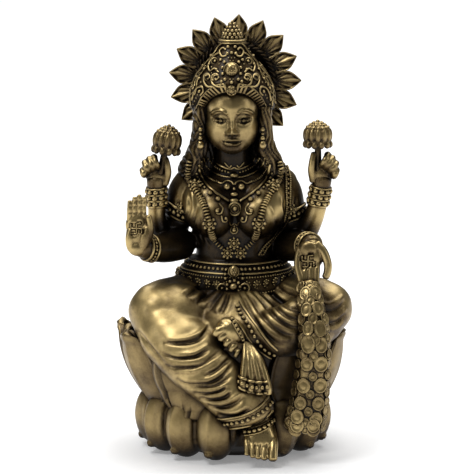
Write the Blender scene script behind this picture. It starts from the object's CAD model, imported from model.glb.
# %% [markdown]
# # A small brass Lakshmi
#
# The object is one antique brass casting, about 14 cm high: the goddess sits on a lotus, holds
# up two lotus buds, blesses with a third hand and pours coins from the fourth.
#
# A foundry makes such a figure from a wax original. The wax is modelled as full, soft forms
# first, then scored with a knife, and last the beads, wires and coins are laid on. This script
# works in that order too, because each layer needs the one below it to lie on.
#
# Sizes in the script are millimetres, and a finished piece is scaled to metres.

import math
import random

import bmesh
import bpy
import numpy as np
from mathutils import Matrix, Vector
from mathutils.bvhtree import BVHTree
from mathutils.kdtree import KDTree


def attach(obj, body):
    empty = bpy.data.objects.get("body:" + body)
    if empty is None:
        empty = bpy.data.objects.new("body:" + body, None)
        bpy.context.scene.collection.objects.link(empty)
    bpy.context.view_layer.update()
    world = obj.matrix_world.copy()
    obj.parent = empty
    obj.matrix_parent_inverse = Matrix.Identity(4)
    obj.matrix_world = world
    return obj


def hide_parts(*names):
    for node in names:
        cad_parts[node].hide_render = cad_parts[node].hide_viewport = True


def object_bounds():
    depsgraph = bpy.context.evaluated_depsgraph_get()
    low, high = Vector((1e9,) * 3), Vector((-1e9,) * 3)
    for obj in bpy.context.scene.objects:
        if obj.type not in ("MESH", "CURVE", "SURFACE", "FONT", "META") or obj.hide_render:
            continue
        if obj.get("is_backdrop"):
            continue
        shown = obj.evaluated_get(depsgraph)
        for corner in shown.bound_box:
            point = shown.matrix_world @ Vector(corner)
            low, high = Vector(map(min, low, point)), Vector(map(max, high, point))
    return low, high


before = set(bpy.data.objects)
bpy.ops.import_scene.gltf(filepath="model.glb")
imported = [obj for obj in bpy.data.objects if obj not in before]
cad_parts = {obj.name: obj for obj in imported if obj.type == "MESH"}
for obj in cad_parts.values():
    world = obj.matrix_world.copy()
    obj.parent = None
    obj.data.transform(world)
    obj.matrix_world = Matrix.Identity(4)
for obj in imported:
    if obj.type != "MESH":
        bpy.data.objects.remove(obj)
CAD_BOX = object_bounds()
scene = bpy.context.scene
random.seed(7)
METRES = 0.001  # one millimetre in the frame's unit
print("frame:", sorted(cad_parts), "box", [round(v, 4) for v in CAD_BOX[1]])

# %% [markdown]
# ## The camera
#
# The photograph is taken from the front, a little above the figure, with a long lens. The
# camera comes first because the carving is drawn as the camera sees it, like a drawing held
# up in front of the wax: a point of the drawing is (x, height) in the plane y = 0, and the
# line from the eye through it meets the surface where the tool goes.

# %% Set up the camera
EYE_TILT = math.radians(10)
EYE_AWAY = 900
AIM = Vector((0.65, 0, 68.5))
TOWARD_EYE = Vector((0, -math.cos(EYE_TILT), math.sin(EYE_TILT)))
EYE = AIM + TOWARD_EYE * EYE_AWAY
camera = bpy.data.objects.new("camera", bpy.data.cameras.new("camera"))
scene.collection.objects.link(camera)
camera.data.sensor_width = 36
camera.data.lens = 211
camera.location = EYE * METRES
camera.rotation_euler = (math.pi / 2 - EYE_TILT, 0, 0)
scene.camera = camera
print("eye at", [round(v) for v in EYE], "mm")

# %% [markdown]
# ## Soft forms
#
# Limbs are tubes that change width along their way, like rolled wax. An outline is carried
# through a run of frames by extruding its edges, which is what a sculptor's hands do when they
# draw a roll out. Forms that touch are then fused into one skin with a voxel remesh, the way
# that wax is smeared together, and a few rounds of smoothing take the joins away.

# %% Carry an outline along a path
def between(stations, steps):
    """More stations between the given ones, on a smooth curve through all of them."""
    known = np.array(stations, float)
    ends = np.vstack([2 * known[0] - known[1], known, 2 * known[-1] - known[-2]])
    run = []
    for before, start, stop, after in zip(ends, ends[1:], ends[2:], ends[3:]):
        for t in np.linspace(0, 1, steps, endpoint=False):
            turn = (2 * before - 5 * start + 4 * stop - after) * t**2
            turn += (3 * start - before - 3 * stop + after) * t**3
            run.append((2 * start + (stop - before) * t + turn) / 2)
    return np.array(run + [known[-1]])


def sweep(bm, frames, section):
    """Extrudes a closed outline through the frames and caps its two ends."""
    verts = [bm.verts.new(frames[0] @ Vector((x, y, 0))) for x, y in section]
    first = ring = [bm.edges.new(pair) for pair in zip(verts, verts[1:] + verts[:1])]
    for before, after in zip(frames, frames[1:]):
        grown = bmesh.ops.extrude_edge_only(bm, edges=ring)["geom"]
        verts = [g for g in grown if isinstance(g, bmesh.types.BMVert)]
        ring = [g for g in grown if isinstance(g, bmesh.types.BMEdge)]
        bmesh.ops.transform(bm, matrix=after @ before.inverted(), verts=verts)
    for end in (first, ring):
        bmesh.ops.contextual_create(bm, geom=end)


def frames_along(run, across):
    """A frame at each station (x, y, z, half width, half depth), its width along across."""
    places = run[:, :3]
    ahead = np.gradient(places, axis=0)
    made = []
    for place, way, size in zip(places, ahead, run[:, 3:]):
        forward = Vector(way).normalized()
        wide = Vector(across)
        wide = (wide - forward * wide.dot(forward)).normalized()
        deep = forward.cross(wide)
        axes = Matrix((wide * size[0], deep * size[1], forward)).transposed()
        made.append(Matrix.Translation(place) @ axes.to_4x4())
    return made


def circle(sides):
    turns = [math.tau * i / sides for i in range(sides)]
    return [(math.cos(a), math.sin(a)) for a in turns]


def limb(bm, stations, across=(1, 0, 0), sides=28, steps=6, dome=0.6):
    """A rolled limb through stations [x, y, z, half width, half depth], with domed ends."""
    run = between([list(s) + [s[3]] if len(s) == 4 else s for s in stations], steps)
    for end, inner in ((0, 1), (-1, -2)):
        way = run[end, :3] - run[inner, :3]
        way = way / np.linalg.norm(way) * run[end, 3] * dome
        caps = []
        for part in (0.5, 0.85, 0.99):
            cap = run[end].copy()
            cap[:3] += way * part
            cap[3:] *= math.sqrt(1 - part**2)
            caps.append(cap)
        run = np.vstack([run, caps] if end else [caps[::-1], run])
    sweep(bm, frames_along(run, across), circle(sides))


print("3 stations become", len(between([[0, 0], [1, 1], [2, 0]], 6)), "on a smooth path")


# %% A ball, and a mesh from soft forms
def ball(bm, place, half, turn=(0, 0, 0), columns=24, rows=16):
    """An ellipsoid with its half sizes, turned by degrees about X, Y and Z."""
    half = half if hasattr(half, "__len__") else (half,) * 3
    spin = Matrix.Identity(4)
    for angle, axis in zip(turn, "XYZ"):
        spin = Matrix.Rotation(math.radians(angle), 4, axis) @ spin
    size = Matrix.Diagonal((*half, 1))
    bmesh.ops.create_uvsphere(
        bm, u_segments=columns, v_segments=rows, radius=1,
        matrix=Matrix.Translation(place) @ spin @ size,
    )


def to_mesh(bm, name):
    mesh = bpy.data.meshes.new(name)
    bmesh.ops.recalc_face_normals(bm, faces=bm.faces)
    bm.to_mesh(mesh)
    bm.free()
    return mesh


def with_modifiers(mesh, *settings):
    """A copy of the mesh with modifiers applied, each given as (type, {setting: value})."""
    body = bpy.data.objects.new("working", mesh)
    scene.collection.objects.link(body)
    for kind, values in settings:
        modifier = body.modifiers.new(kind, kind)
        for key, value in values.items():
            setattr(modifier, key, value)
    seen = body.evaluated_get(bpy.context.evaluated_depsgraph_get())
    made = bpy.data.meshes.new_from_object(seen)
    bpy.data.objects.remove(body)
    return made


# %% Fuse forms into one skin
class Skin:
    """A fused skin whose points can be pressed in and drawn out."""

    def __init__(self, bm, name, voxel, rounds):
        fuse = ("REMESH", {"mode": "VOXEL", "voxel_size": voxel})
        smooth = ("SMOOTH", {"factor": 0.5, "iterations": rounds})
        self.mesh = with_modifiers(to_mesh(bm, name), fuse, smooth)
        self.read()
        print(name, len(self.mesh.polygons), "faces")

    def read(self):
        count = len(self.mesh.vertices)
        self.places = np.empty(count * 3)
        self.mesh.vertices.foreach_get("co", self.places)
        self.places = self.places.reshape(-1, 3)
        self.normals = np.empty(count * 3)
        self.mesh.vertex_normals.foreach_get("vector", self.normals)
        self.normals = self.normals.reshape(-1, 3)

    def move(self, offsets):
        self.places += offsets
        self.mesh.vertices.foreach_set("co", self.places.ravel())
        self.mesh.update()
        self.read()

    def tree(self):
        faces = [tuple(f.vertices) for f in self.mesh.polygons]
        return BVHTree.FromPolygons([Vector(p) for p in self.places], faces)


# %% [markdown]
# ## Carving
#
# Folds, creases and strands are far too fine to be rolled. A real carver scores them with a
# knife or lays a thin roll of wax along them. Here a line is drawn in front of the skin, and
# every point of the skin near the line moves along its own normal, in or out, by a soft bell
# of the distance. The skin keeps its form, and a stroke fades out at both ends.

# %% Draw strokes on a skin
def seen_from(eye, places):
    """Where places show in the drawing plane y = 0 for an eye, as (x, height)."""
    eye = np.array(eye)
    rays = places - eye
    share = -eye[1] / rays[:, 1]
    return (eye + rays * share[:, None])[:, [0, 2]]


def near_line(spots, line):
    """Distance of each spot to a drawn line, how far along the line, and on which side."""
    line = np.array(line, float)
    best = np.full(len(spots), 1e9)
    along, side = np.zeros(len(spots)), np.zeros(len(spots))
    lengths = np.linalg.norm(np.diff(line, axis=0), axis=1)
    passed = 0
    for start, way, length in zip(line, np.diff(line, axis=0), lengths):
        part = np.clip(((spots - start) @ way) / length**2, 0, 1)
        gap = spots - start - part[:, None] * way
        far = np.linalg.norm(gap, axis=1)
        closer = far < best
        best[closer] = far[closer]
        along[closer] = (passed + part[closer] * length) / lengths.sum()
        side[closer] = np.sign(way[0] * gap[closer, 1] - way[1] * gap[closer, 0])
        passed += length
    return best, along, side


def carve(skin, lines, width, height, eye=EYE, taper=0.15, skew=1.0):
    """Draws lines on the side of a skin that faces the eye: ridges, or grooves if height < 0.

    A skew above 1 makes a fold: soft on its upper side and sharp on its lower side."""
    spots = seen_from(eye, skin.places)
    toward = np.array(eye) - skin.places
    toward /= np.linalg.norm(toward, axis=1)[:, None]
    facing = np.clip((toward * skin.normals).sum(axis=1) * 2.5, 0, 1)
    lift = np.zeros(len(spots))
    for line in lines:
        line = between(line, 5)
        reach = 2.2 * width * skew
        low, high = line.min(axis=0) - reach, line.max(axis=0) + reach
        near = np.where(((spots > low) & (spots < high)).all(axis=1) & (facing > 0))[0]
        if not len(near):
            continue
        far, along, side = near_line(spots[near], line)
        ends = np.clip(np.minimum(along, 1 - along) / taper, 0, 1)
        wide = np.where(side > 0, width * skew, width / skew)
        stroke = np.exp(-((far / wide) ** 2)) * np.sqrt(ends)
        lift[near] = np.maximum(lift[near], stroke)
    skin.move(skin.normals * (lift * facing * height)[:, None])


print("the aim shows in the drawing plane at", seen_from(EYE, np.array([AIM]))[0].round(2))


# %% [markdown]
# ## Antique brass
#
# Old brass is dark brown where a cloth never reaches, and warm gold where hands and cloth have
# rubbed it. One finish does both: a shade of how closed in each place is chooses between the
# patina and the polished metal. Shade alone would look like soot, so noise breaks up its edge,
# and the patina is rougher than the metal. A fine bump stands for the grain of the casting.

# %% Make the brass
PATINA = (0.010, 0.0068, 0.0040, 1)
WORN = (0.105, 0.067, 0.028, 1)
POLISHED = (0.55, 0.41, 0.178, 1)
FACING_UP = 0.26  # how much more a face that looks up is rubbed
SPECKLE = 0.16  # how much the grain breaks up the shade
COAT = 0.22  # a thin wax coat, as dealers give old brass


def brass(name, reach, low, high, dull=0.6, bright=0.34, mottle=0.6):
    """Antique brass. Reach is how far its shade looks, in mm, and the metal turns from patina
    at low to polish at high. Dull and bright are its roughness there."""
    material = bpy.data.materials.new(name)
    material.use_nodes = True
    nodes, links = material.node_tree.nodes, material.node_tree.links
    shader = nodes["Principled BSDF"]
    shader.inputs["Metallic"].default_value = 1

    def node(kind, *inputs, **settings):
        """A node with its settings, and its inputs as values or as other nodes' outputs."""
        made = nodes.new(kind)
        for key, value in settings.items():
            setattr(made, key, value)
        for socket, value in inputs:
            if isinstance(value, bpy.types.NodeSocket):
                links.new(value, made.inputs[socket])
            else:
                made.inputs[socket].default_value = value
        return made.outputs

    def blend(value, amount, base):
        """The value times the amount, plus the base."""
        return node("ShaderNodeMath", (0, value), (1, amount), (2, base),
                    operation="MULTIPLY_ADD")[0]

    def noise(scale, detail, roughness):
        return node("ShaderNodeTexNoise", ("Vector", places), ("Scale", scale),
                    ("Detail", detail), ("Roughness", roughness))["Fac"]

    def shade_within(distance, samples):
        return node("ShaderNodeAmbientOcclusion", ("Distance", distance * METRES),
                    samples=samples)["AO"]

    places = node("ShaderNodeTexCoord")["Object"]
    blotches, specks = noise(150, 6, 0.65), noise(1900, 3, 0.6)
    close, wide = shade_within(reach, 6), shade_within(6 * reach, 5)
    open_to_air = node("ShaderNodeMath", (0, close), (1, wide), operation="MULTIPLY")[0]
    up = node("ShaderNodeSeparateXYZ", (0, node("ShaderNodeNewGeometry")["Normal"]))["Z"]
    handled = node("ShaderNodeAttribute", attribute_name="handled")["Fac"]
    rubbed = node("ShaderNodeMath", (0, blend(up, FACING_UP, open_to_air)), (1, handled))[0]
    uneven = blend(specks, SPECKLE, blend(blotches, mottle, rubbed))
    middle = (mottle + SPECKLE) / 2  # what the two noises add on average
    shade = node("ShaderNodeMapRange", ("Value", uneven), ("From Min", low + middle),
                 ("From Max", high + middle))[0]
    ramp = nodes.new("ShaderNodeValToRGB")
    stops = ramp.color_ramp.elements
    stops[0].color, stops[1].color = PATINA, POLISHED
    stops.new(0.5).color = WORN
    links.new(shade, ramp.inputs["Fac"])
    links.new(ramp.outputs["Color"], shader.inputs["Base Color"])
    gloss = node("ShaderNodeMapRange", ("Value", shade), ("To Min", dull - 0.1),
                 ("To Max", bright - 0.1))[0]
    links.new(blend(specks, 0.2, gloss), shader.inputs["Roughness"])
    grain = node("ShaderNodeBump", ("Height", specks), ("Strength", 0.06),
                 ("Distance", 0.3 * METRES))["Normal"]
    links.new(grain, shader.inputs["Normal"])
    shader.inputs["Coat Weight"].default_value = COAT
    shader.inputs["Coat Roughness"].default_value = 0.22
    return material


SEAT_BRASS = brass("seat brass", reach=1.8, low=0.25, high=1.3, dull=0.62, bright=0.44)
SATIN_BRASS = brass("satin brass", reach=1.6, low=0.34, high=1.12, bright=0.4, mottle=0.9)
SMOOTH_BRASS = brass("smooth brass", reach=1.1, low=0.25, high=1.0, bright=0.3)
DARK_BRASS = brass("dark brass", reach=1.6, low=0.42, high=1.22, bright=0.34)
DEEP_BRASS = brass("deep brass", reach=1.2, low=0.75, high=1.7, bright=0.4)
CARVED_BRASS = brass("carved brass", reach=0.7, low=0.36, high=0.98, bright=0.3)
DIM_BRASS = brass("dim brass", reach=0.7, low=0.5, high=1.14, bright=0.32)
print("finishes:", [m.name for m in bpy.data.materials if "brass" in m.name])

# %% [markdown]
# ## Wear
#
# A figure that is dusted and touched for years shines on its front and stays dark where an arm
# or a jewel shields it. Each piece gets that as an attribute of its points, which the finish
# adds to its shade, so it stays on the metal from every side.

# %% Hand a piece to the frame
# Where the figure is rubbed more, or less, than elsewhere: x, height, radius, amount
HANDLED = [(-13.6, 80, 4.5, 0.7), (12.6, 80, 4.5, 0.7), (-21, 69, 8, -0.65), (21, 70, 7, -0.5),
           (0, 66, 9, -0.3), (-0.3, 84, 8, -0.45), (-0.8, 94, 7, -0.35), (13, 33, 7, -0.25),
           (-11, 57, 7, -0.3), (0, 57, 8, -0.3), (12, 57, 7, -0.3), (-8, 51, 6, -0.3),
           (28, 45, 9, -0.26), (8, 0, 6, 0.35), (-6, 45, 5, -0.2), (-24, 2, 8, 0.08),
           (-9, -1, 8, 0.14), (19, 0, 8, 0.1), (-26, 90, 6, -0.2), (29, 90, 6, -0.2),
           (-20, 49, 8, -0.22), (-25.5, 77, 4.5, 0.5), (26.5, 75, 4.5, 0.45)]
LAID = {}  # the surfaces made so far, in millimetres, for later pieces to lie on


def piece(mesh, name, finish, worn=True):
    """Scales a mesh to metres, places it in the scene and rides it on the casting."""
    mesh.name = name
    LAID[name] = ([v.co.copy() for v in mesh.vertices], [tuple(f.vertices) for f in mesh.polygons])
    seen = seen_from(EYE, np.array([tuple(v) for v in LAID[name][0]]))
    amount = np.zeros(len(seen))
    for x, high, radius, much in HANDLED:
        amount += much * np.exp(-((seen[:, 0] - x) ** 2 + (seen[:, 1] - high) ** 2) / radius**2)
    amount = amount if worn else np.maximum(amount, 0)
    mesh.attributes.new("handled", "FLOAT", "POINT").data.foreach_set("value", amount)
    mesh.transform(Matrix.Scale(METRES, 4))
    mesh.polygons.foreach_set("use_smooth", [True] * len(mesh.polygons))
    mesh.materials.clear()
    mesh.materials.append(finish)
    body = bpy.data.objects.new(name, mesh)
    scene.collection.objects.link(body)
    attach(body, "root")
    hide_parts("lakshmi_casting")
    print(name, sum(len(f.vertices) - 2 for f in mesh.polygons), "triangles")


print("places that are rubbed more or less:", len(HANDLED))

# %% [markdown]
# ## The lotus seat
#
# The seat is a double lotus. Its lower row is plump buds, each with a keel down its middle and
# a small nub at its foot, and they are fused to a core so that the metal between them is
# closed. Above its waist stand two rows of thin petals, which lean out and roll over at the
# rim. A petal is a small grid bent to its shape and given a wall, because a thin leaf fused
# from balls would lose its edge.

# %% The places round the seat
SEAT_HEIGHT, SEAT_RADIUS = 40, 31
SEAT_SQUASH = 60 / 62  # its depth as a share of its width
SEAT_WAIST = 0.36  # the level between the two rows, as a share of the height
SEAT_LEAN = 1.5  # how far the rim leans to the viewer's left
FRONT_PRESS = 0.2  # how much the hanging leg flattens the front
LOWER_PETALS, UPPER_PETALS = 15, 10
PETAL_WALL = 2.2


def on_seat(turn, radius, level):
    """A point of the seat: degrees round from the front, radius, and share of the height."""
    a = math.radians(turn)
    above = min(1, max(0, (level - SEAT_WAIST) / (1 - SEAT_WAIST)))
    front = min(1, max(0, (math.cos(a) - 0.4) / 0.6))
    out = radius * (1 - FRONT_PRESS * front * min(1, 3 * above))
    side, back = math.sin(a) * out - SEAT_LEAN * above, -math.cos(a) * out * SEAT_SQUASH
    return Vector((side, back, level * SEAT_HEIGHT))


print("the seat's rim, front and side:", on_seat(0, 37, 1)[:], on_seat(90, 37, 1)[:])


# %% Turned and plump shapes
def spin_profile(bm, profile, steps):
    """Turns an outline of (radius, height) round the upright axis."""
    verts = [bm.verts.new((r, 0, h)) for r, h in profile]
    edges = [bm.edges.new(pair) for pair in zip(verts, verts[1:])]
    bmesh.ops.spin(
        bm, geom=verts + edges, cent=(0, 0, 0), axis=(0, 0, 1),
        angle=math.tau, steps=steps, use_merge=True,
    )
    bmesh.ops.remove_doubles(bm, verts=bm.verts, dist=1e-4)


def bud_petal(bm, place, half, turn):
    """A plump petal with a flat front: a ball swelled towards the box round it."""
    power = 2.3  # 2 is a ball, and a large number is a box
    made = bmesh.ops.create_uvsphere(bm, u_segments=32, v_segments=24, radius=1)["verts"]
    for v in made:
        v.co *= sum(abs(c) ** power for c in v.co) ** (-1 / power)
        v.co.x *= 1 - (0.34 if v.co.z < 0 else 0.16) * v.co.z**2
    stand = Matrix.Translation(place) @ Matrix.Rotation(math.radians(turn), 4, "Z")
    bmesh.ops.transform(bm, matrix=stand @ Matrix.Diagonal((*half, 1)), verts=made)


# %% The lower row
ROW_SHIFT, ROW_NARROW = 0.7, 0.96  # the row stands a little to the left, and is narrower
ROW_PITCH = 360 / LOWER_PETALS
FOOT_TURN = ROW_PITCH / 2  # the foot of the hanging leg stands in this petal's place


def on_lower_row(turn, radius, level):
    place = on_seat(turn, radius, level) - Vector((ROW_SHIFT, 0, 0))
    place.x *= ROW_NARROW
    return place


def lower_row():
    bm = bmesh.new()
    core = [(0, 0), (0.56, 0), (0.6, 0.04), (0.78, 0.12), (0.85, 0.22), (0.78, 0.36),
            (0.74, 0.7), (0.78, 0.93), (0, 0.95)]
    spin_profile(bm, [(r * SEAT_RADIUS, h * SEAT_HEIGHT) for r, h in core], 60)
    for i in range(LOWER_PETALS):
        turn = ROW_PITCH * (i - 0.5)
        if turn != FOOT_TURN:
            bud_petal(bm, on_lower_row(turn, 25.6, 0.262), (7.3, 6, 10), turn)
            ball(bm, on_lower_row(turn - 3, 30.2, 0.075), (1, 0.9, 1), (0, 0, turn), 12, 8)
    cut = bmesh.ops.bisect_plane(
        bm, geom=bm.verts[:] + bm.edges[:] + bm.faces[:],
        plane_co=(0, 0, 0), plane_no=(0, 0, -1), clear_outer=True,
    )["geom_cut"]
    bmesh.ops.holes_fill(bm, edges=[e for e in cut if isinstance(e, bmesh.types.BMEdge)])
    return Skin(bm, "lotus_lower", 0.6, 2)


def sharpen(row):
    """Draws a keel down each petal of the row and deepens the grooves between them."""
    x, y, _ = row.places.T
    off_keel = np.degrees(np.arctan2(x + ROW_SHIFT, -y / SEAT_SQUASH)) % ROW_PITCH - ROW_PITCH / 2
    keel = 1.7 * np.clip(1 - np.abs(off_keel + 1.5) / 8, 0, 1)
    groove = 1.2 * np.exp(-(((np.abs(off_keel) - ROW_PITCH / 2) / 1.3) ** 2))
    outside = np.clip(np.hypot(x, y) - 24, 0, 2) / 2
    upright = np.clip(1 - np.abs(row.normals[:, 2]), 0, 1)
    row.move(row.normals * ((keel - groove) * outside * upright)[:, None])


seat_row = lower_row()
sharpen(seat_row)
piece(seat_row.mesh, "lotus_lower", SEAT_BRASS)


# %% The upper petals
def bent_petal(bm, turn, foot, tip, half_wide, belly, cup):
    """A petal from foot to tip, each (radius, level), bowed out by belly, cupped, with a rim."""
    grid = bmesh.ops.create_grid(bm, x_segments=26, y_segments=34, size=1)["verts"]
    for v in grid:
        u, t = v.co.x, (v.co.y + 1) / 2
        wide = half_wide * math.sin(math.pi * (0.05 + 0.9 * t)) ** 0.55
        radius = foot[0] + (tip[0] - foot[0]) * t ** 0.75 + belly * math.sin(math.pi * t)
        level = foot[1] + (tip[1] - foot[1]) * t ** 0.95
        edge = max(abs(u), 1.02 * t, 1 - 2.4 * t)
        radius += 0.8 * math.exp(-(((edge - 0.93) / 0.05) ** 2)) - cup * u * u
        radius += 0.5 * math.exp(-((u / 0.05) ** 2)) * (1 - t)
        curl = max(0, t - 0.88) / 0.12
        radius += 1.1 * curl**2
        level -= 0.02 * curl**2
        v.co = on_seat(turn + math.degrees(u * wide / max(radius, 8)), radius, level)


def upper_row(name, first, foot, tip, half_wide, belly, cup):
    bm = bmesh.new()
    for i in range(UPPER_PETALS):
        bent_petal(bm, first + 360 / UPPER_PETALS * i, foot, tip, half_wide, belly, cup)
    wall = ("SOLIDIFY", {"thickness": PETAL_WALL, "offset": -1})
    piece(with_modifiers(to_mesh(bm, name), wall), name, SEAT_BRASS)


upper_row("lotus_outer", 6, (27.6, 0.36), (37, 1.0), 10.9, 2.2, 1.2)
upper_row("lotus_inner", 24, (22, 0.4), (32.6, 0.98), 10.4, 1.6, 1.4)

# %% [markdown]
# ## The sari over the legs
#
# One leg hangs down in front of the seat and the other is folded across it, and thin cloth is
# drawn tight over both. The legs are rolled as limbs and fused, and the folds are then scored
# along the lines that the cloth takes round the knee: wide, soft valleys first and sharp
# ridges between them.

# %% The legs as soft forms
def sari_forms():
    bm = bmesh.new()
    limb(bm, [[-9, 3, 46.6, 9.2, 10], [-18, -5, 47.2, 9.4, 10],
              [-24.6, -11.5, 46.4, 9.6, 9.4]], (0, 0, 1))
    limb(bm, [[-24.2, -13, 45, 9.6, 8.6], [-19.5, -18.5, 39.8, 10.7, 9],
              [-13, -23, 34, 10.7, 9], [-5, -26, 26.8, 9.4, 8.8], [1.4, -27.2, 20.6, 9, 8.2],
              [4, -27.4, 17.4, 8.6, 7.6], [5.3, -27.4, 14.6, 8.2, 7]], dome=0.1)
    limb(bm, [[9, 3, 46.6, 9.2, 10], [20, -4, 47.2, 9.6, 10],
              [28, -10.5, 47.4, 9.2, 9.2]], (0, 0, 1))
    limb(bm, [[27.5, -12, 45.4, 9.2, 9], [21, -17, 42, 9.6, 8.4],
              [13, -20.5, 40.5, 8.6, 7.8], [6.5, -22.5, 40.5, 6.4, 6],
              [3, -24, 40.5, 4.2, 4]], (0, 0, 1))
    ball(bm, (-24.6, -12.2, 46.4), (9.7, 9.5, 9.5))
    ball(bm, (28.1, -11, 47.2), (9.8, 9.6, 9))
    ball(bm, (-18.4, -12.6, 43.6), (13.4, 10.4, 12), (0, 30, 0))
    ball(bm, (-15, -18, 38), (10, 9, 9))
    limb(bm, [[0.4, 0, 47.4, 8.4, 17], [1.4, -9, 46.6, 7.4, 16], [5, -17, 43.4, 6.4, 14],
              [8, -21, 41, 5, 11]], (0, 0, 1), dome=0.3)
    ball(bm, (0, 6, 44), (20, 14, 9))
    return bm


# %% The lines of its folds
HANGING_CREASES = [
    [(-23.4, 33.5), (-17.7, 33.4), (-13.8, 33.9), (-11.2, 35.2), (-9.1, 37.6)],
    [(-24.7, 30.4), (-22.4, 29.1), (-19.3, 28.5), (-15.6, 28.6), (-12.5, 29.1), (-8.6, 31.2)],
    [(-23.4, 26.2), (-21.3, 25.1), (-18.7, 24.8), (-13.8, 25), (-9.9, 26.4), (-4.7, 31.2)],
    [(-19, 21.6), (-16.2, 20), (-12.5, 19.8), (-8.6, 20), (-4.7, 21.9), (-0.9, 26.2)],
    [(-16.2, 19), (-11.2, 18.4), (-7.3, 18.7), (-3.9, 20.4), (-1.2, 22.7)],
    [(-13.6, 16.9), (-9.4, 16.5), (-5.7, 17), (-2.9, 18.4)],
    [(-11.7, 14.9), (-7.8, 14.4), (-3.9, 14.8), (-1.3, 16.7)],
    [(-8.9, 12.7), (-4.7, 11.7), (-1.3, 12.3), (1.6, 14.1), (2.9, 16)],
    [(-6, 9.3), (-2.1, 8.5), (1.8, 9), (4.9, 11.2)],
    [(-9.9, 22.4), (-6.5, 24), (-3.1, 27), (-1, 29.1)],
    [(-32, 37.6), (-28.1, 32.3), (-25, 28.6), (-22.9, 26.2)],
]
HANGING_RIDGES = [
    [(-22.9, 34.4), (-16.1, 34.8), (-12.5, 36), (-10.4, 37.9), (-8.8, 40.5)],
    [(-21.3, 29.6), (-19, 29.2), (-15.6, 29.4), (-12.5, 30.2), (-8.3, 32.8)],
    [(-21.3, 25.4), (-19.3, 24), (-15.1, 23.9), (-12.5, 24.4), (-6, 27.8), (-3.9, 29.9)],
    [(-19.3, 22.4), (-16.2, 20.8), (-12.5, 20.6), (-8.6, 21.1), (-4.7, 23.5), (-2.1, 26.2)],
    [(-13.8, 17.6), (-9.9, 17.5), (-6, 18), (-2.1, 20)],
    [(-9.9, 15.5), (-7.3, 15.5), (-3.9, 16.3), (-1.6, 17.9)],
    [(-9.9, 14), (-6, 13.1), (-2.6, 13.6), (0, 15.5), (2.6, 17.1)],
    [(-7, 11.7), (-3.4, 10.4), (0.5, 10.5), (3.7, 12.8)],
    [(-5.7, 8.4), (-2.1, 7.6), (1.8, 8.1), (4.9, 9.8)],
]
FOLDED_RIDGES = [
    [(14.6, 53), (18, 51.6), (21.6, 50.2)], [(12.6, 50.8), (16.4, 47.6), (21.7, 46.1)],
    [(8.7, 50.9), (13.3, 46.8), (17.5, 43.5), (21.7, 42.2)],
    [(6.2, 50.9), (10.7, 46.8), (14.3, 42.8), (18.1, 40.2), (21.7, 39.6)],
    [(4.2, 51), (7.8, 47.1), (10.7, 42.5), (14.9, 38.9), (18.8, 36.9), (20.7, 36.9)],
    [(2.3, 50.7), (4.5, 47.1), (7.1, 42.5), (10.7, 37.9), (14.3, 35), (18.1, 34.6)],
    [(0.6, 50), (2.3, 47.1), (4.5, 41.9), (7.8, 36.6), (11, 32.7), (13.9, 30)],
]
OUTER_RIDGES = [
    [(27, 47.4), (30.4, 46.2), (33.6, 47.6), (35.6, 49.4)],
    [(27.6, 43), (31, 41.6), (34.4, 43), (36.2, 45.4)], [(28, 38.4), (32.4, 38.2), (35.6, 40.8)],
]
LAP_RIDGES = [
    [(-1.2, 49.6), (-1.9, 46), (-3.2, 42.6)], [(-2.8, 50.4), (-4.6, 46.8), (-6.4, 43.4)],
    [(-4.4, 51.4), (-8, 48.2), (-10.6, 44.8)], [(-6.2, 52.4), (-10.8, 50.2), (-14, 47.4)],
    [(-8.4, 53.8), (-13.6, 52.2), (-17.6, 50)],
]
print("creases and ridges of the hanging leg:", len(HANGING_CREASES), len(HANGING_RIDGES))


# %% Score the folds
def halfway(lines, number=7):
    """Lines that run midway between each line and the next."""
    even = [np.array([tuple(p)[:2] for p in between(line, 8)]) for line in lines]
    even = [line[np.linspace(0, len(line) - 1, number).astype(int)] for line in even]
    return [[tuple(p) for p in (a + b) / 2] for a, b in zip(even, even[1:])]


def dent(skin, depth):
    """Faint dents all over, as cast metal has where a hand smoothed the wax."""
    x, y, z = skin.places.T
    dents = np.sin(x / 1.7 + 1.3 * np.sin(z / 2.9)) * np.sin(z / 2.1 + y / 2.4)
    skin.move(skin.normals * (depth * dents)[:, None])


sari = Skin(sari_forms(), "sari_drapery", 0.42, 50)
dent(sari, 0.13)
carve(sari, HANGING_CREASES, 0.75, -0.9, taper=0.3)
carve(sari, HANGING_RIDGES, 0.75, 0.62, taper=0.3, skew=1.3)
for ridges, rise in ((FOLDED_RIDGES, 0.6), (LAP_RIDGES, 0.55), (OUTER_RIDGES, 0.5)):
    carve(sari, ridges, 0.85, rise, taper=0.2)
    carve(sari, halfway(ridges), 0.5, -rise, taper=0.2)
piece(sari.mesh, "sari_drapery", SATIN_BRASS)

# %% [markdown]
# ## The body and the arms
#
# Above the seat the body is a waist that widens into the shoulders, with two forearms from
# each elbow. The limbs are rolled and fused like the legs. The jewels will hide most of the
# chest, so only a few creases of the bodice are drawn where it pulls at the arms and waist.

# %% The body
GIRDLE = [[0.3, 2.6, 50, 20.8, 14.4], [0.3, 2.6, 53, 20.8, 14.2], [0.3, 2.8, 57.4, 18.6, 12.8],
          [0.3, 2.8, 61.6, 14.8, 10.8]]


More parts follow.
